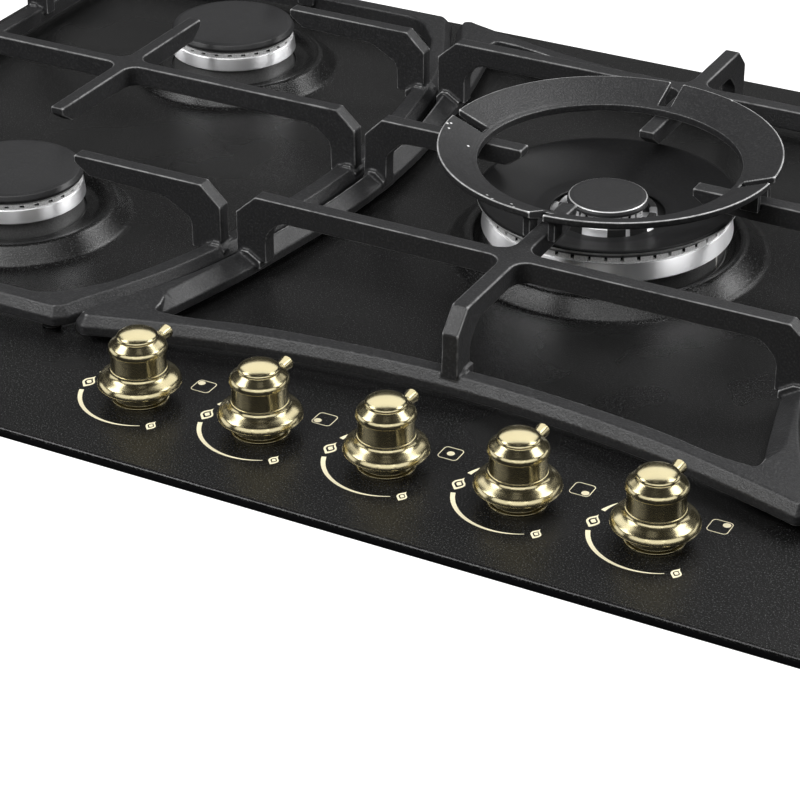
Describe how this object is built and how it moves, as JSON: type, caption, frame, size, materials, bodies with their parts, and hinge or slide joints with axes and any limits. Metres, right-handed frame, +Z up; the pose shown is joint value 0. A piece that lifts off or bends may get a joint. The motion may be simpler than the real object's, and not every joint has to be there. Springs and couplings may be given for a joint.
{
  "type": "gas cooktop",
  "caption": "Built-in gas cooktop: black enamelled plate, cast-iron pan supports, capped burners, a wok burner with lift-off ring, and push-and-turn brass knobs along the front.",
  "frame": {"origin": "centre of the 880 x 510 mm footprint, at the underside of the base tray", "axes": "+X to the user's right along the knob row, +Y to the back, +Z up"},
  "size_m": [0.88, 0.51, 0.1082],
  "materials": {
    "black_enamel": "semi-matte black vitreous enamel with a fine speckle",
    "zinc_steel": "zinc-coated sheet, dull",
    "seal_rubber": "matte foam",
    "steel": "satin",
    "module_plastic": "matte",
    "brass": "satin, pale gold",
    "valve_brass": "as machined",
    "cast_aluminium": "as cast",
    "burner_aluminium": "turned and polished outer ring, blasted port band",
    "cap_enamel": "matte black enamel",
    "electrode_ceramic": "glazed",
    "cast_iron": "matte enamelled cast iron, grainy, edges slightly worn"
  },
  "bodies": {
    "hob": {"top_plate": "black_enamel", "base_tray": "zinc_steel", "worktop_seal": "seal_rubber", "gas_rail": "steel", "ignition_module": "module_plastic", "knob_bezel_rear_left": "brass", "knob_bezel_front_left": "brass", "knob_bezel_centre": "brass", "knob_bezel_front_right": "brass", "knob_bezel_rear_right": "brass", "gas_valve_rear_left": "valve_brass", "gas_valve_front_left": "valve_brass", "gas_valve_centre": "valve_brass", "gas_valve_front_right": "valve_brass", "gas_valve_rear_right": "valve_brass", "gas_pipe_front_left": "cast_aluminium", "gas_pipe_rear_left": "cast_aluminium", "gas_pipe_front_right": "cast_aluminium", "gas_pipe_rear_right": "cast_aluminium", "gas_pipe_centre": "cast_aluminium", "burner_cup_rear_left": "cast_aluminium", "burner_cup_front_left": "cast_aluminium", "burner_cup_front_right": "cast_aluminium", "burner_cup_rear_right": "cast_aluminium", "burner_cup_centre": "cast_aluminium", "electrode_rear_left": "electrode_ceramic", "electrode_front_left": "electrode_ceramic", "electrode_front_right": "electrode_ceramic", "electrode_rear_right": "electrode_ceramic", "electrode_centre": "electrode_ceramic", "burner_head_centre": "burner_aluminium"},
    "spindle_rear_left_body": {"spindle_rear_left": "steel"},
    "knob_rear_left_body": {"knob_rear_left": "brass", "knob_pointer_rear_left": "brass"},
    "spindle_front_left_body": {"spindle_front_left": "steel"},
    "knob_front_left_body": {"knob_front_left": "brass", "knob_pointer_front_left": "brass"},
    "spindle_centre_body": {"spindle_centre": "steel"},
    "knob_centre_body": {"knob_centre": "brass", "knob_pointer_centre": "brass"},
    "spindle_front_right_body": {"spindle_front_right": "steel"},
    "knob_front_right_body": {"knob_front_right": "brass", "knob_pointer_front_right": "brass"},
    "spindle_rear_right_body": {"spindle_rear_right": "steel"},
    "knob_rear_right_body": {"knob_rear_right": "brass", "knob_pointer_rear_right": "brass"},
    "burner_head_rear_left_body": {"burner_head_rear_left": "burner_aluminium"},
    "burner_cap_rear_left_body": {"burner_cap_rear_left": "cap_enamel"},
    "burner_head_front_left_body": {"burner_head_front_left": "burner_aluminium"},
    "burner_cap_front_left_body": {"burner_cap_front_left": "cap_enamel"},
    "burner_head_front_right_body": {"burner_head_front_right": "burner_aluminium"},
    "burner_cap_front_right_body": {"burner_cap_front_right": "cap_enamel"},
    "burner_head_rear_right_body": {"burner_head_rear_right": "burner_aluminium"},
    "burner_cap_rear_right_body": {"burner_cap_rear_right": "cap_enamel"},
    "burner_crown_centre_body": {"burner_crown_centre": "cap_enamel"},
    "burner_cap_centre_body": {"burner_cap_centre": "cap_enamel"},
    "grate_left_body": {"grate_left": "cast_iron"},
    "grate_centre_body": {"grate_centre": "cast_iron"},
    "grate_right_body": {"grate_right": "cast_iron"},
    "wok_ring_body": {"wok_ring": "cast_iron"}
  },
  "joints": [
    {"name": "turn_rear_left", "type": "hinge", "parent": "hob", "child": "spindle_rear_left_body", "pos_m": [-0.126, -0.2025, 0.052], "axis": [0, 0, 1], "range_deg": [0, 225]},
    {"name": "push_rear_left", "type": "slide", "parent": "spindle_rear_left_body", "child": "knob_rear_left_body", "axis": [0, 0, -1], "range_m": [0, 0.003], "stiffness_N_per_m": 2000, "springref_m": -0.002},
    {"name": "turn_front_left", "type": "hinge", "parent": "hob", "child": "spindle_front_left_body", "pos_m": [-0.063, -0.2025, 0.052], "axis": [0, 0, 1], "range_deg": [0, 225]},
    {"name": "push_front_left", "type": "slide", "parent": "spindle_front_left_body", "child": "knob_front_left_body", "axis": [0, 0, -1], "range_m": [0, 0.003], "stiffness_N_per_m": 2000, "springref_m": -0.002},
    {"name": "turn_centre", "type": "hinge", "parent": "hob", "child": "spindle_centre_body", "pos_m": [0, -0.2025, 0.052], "axis": [0, 0, 1], "range_deg": [0, 225]},
    {"name": "push_centre", "type": "slide", "parent": "spindle_centre_body", "child": "knob_centre_body", "axis": [0, 0, -1], "range_m": [0, 0.003], "stiffness_N_per_m": 2000, "springref_m": -0.002},
    {"name": "turn_front_right", "type": "hinge", "parent": "hob", "child": "spindle_front_right_body", "pos_m": [0.063, -0.2025, 0.052], "axis": [0, 0, 1], "range_deg": [0, 225]},
    {"name": "push_front_right", "type": "slide", "parent": "spindle_front_right_body", "child": "knob_front_right_body", "axis": [0, 0, -1], "range_m": [0, 0.003], "stiffness_N_per_m": 2000, "springref_m": -0.002},
    {"name": "turn_rear_right", "type": "hinge", "parent": "hob", "child": "spindle_rear_right_body", "pos_m": [0.126, -0.2025, 0.052], "axis": [0, 0, 1], "range_deg": [0, 225]},
    {"name": "push_rear_right", "type": "slide", "parent": "spindle_rear_right_body", "child": "knob_rear_right_body", "axis": [0, 0, -1], "range_m": [0, 0.003], "stiffness_N_per_m": 2000, "springref_m": -0.002},
    {"name": "lift_head_rear_left", "type": "slide", "parent": "hob", "child": "burner_head_rear_left_body", "axis": [0, 0, 1], "range_m": [0, 0.02]},
    {"name": "lift_cap_rear_left", "type": "slide", "parent": "burner_head_rear_left_body", "child": "burner_cap_rear_left_body", "axis": [0, 0, 1], "range_m": [0, 0.03]},
    {"name": "lift_head_front_left", "type": "slide", "parent": "hob", "child": "burner_head_front_left_body", "axis": [0, 0, 1], "range_m": [0, 0.02]},
    {"name": "lift_cap_front_left", "type": "slide", "parent": "burner_head_front_left_body", "child": "burner_cap_front_left_body", "axis": [0, 0, 1], "range_m": [0, 0.03]},
    {"name": "lift_head_front_right", "type": "slide", "parent": "hob", "child": "burner_head_front_right_body", "axis": [0, 0, 1], "range_m": [0, 0.02]},
    {"name": "lift_cap_front_right", "type": "slide", "parent": "burner_head_front_right_body", "child": "burner_cap_front_right_body", "axis": [0, 0, 1], "range_m": [0, 0.03]},
    {"name": "lift_head_rear_right", "type": "slide", "parent": "hob", "child": "burner_head_rear_right_body", "axis": [0, 0, 1], "range_m": [0, 0.02]},
    {"name": "lift_cap_rear_right", "type": "slide", "parent": "burner_head_rear_right_body", "child": "burner_cap_rear_right_body", "axis": [0, 0, 1], "range_m": [0, 0.03]},
    {"name": "lift_crown_centre", "type": "slide", "parent": "hob", "child": "burner_crown_centre_body", "axis": [0, 0, 1], "range_m": [0, 0.003]},
    {"name": "lift_cap_centre", "type": "slide", "parent": "hob", "child": "burner_cap_centre_body", "axis": [0, 0, 1], "range_m": [0, 0.03]},
    {"name": "lift_grate_left", "type": "slide", "parent": "hob", "child": "grate_left_body", "axis": [0, 0, 1], "range_m": [0, 0.06]},
    {"name": "lift_grate_centre", "type": "slide", "parent": "hob", "child": "grate_centre_body", "axis": [0, 0, 1], "range_m": [0, 0.06]},
    {"name": "lift_grate_right", "type": "slide", "parent": "hob", "child": "grate_right_body", "axis": [0, 0, 1], "range_m": [0, 0.06]},
    {"name": "lift_wok_ring", "type": "slide", "parent": "grate_centre_body", "child": "wok_ring_body", "axis": [0, 0, 1], "range_m": [0, 0.04]}
  ]
}
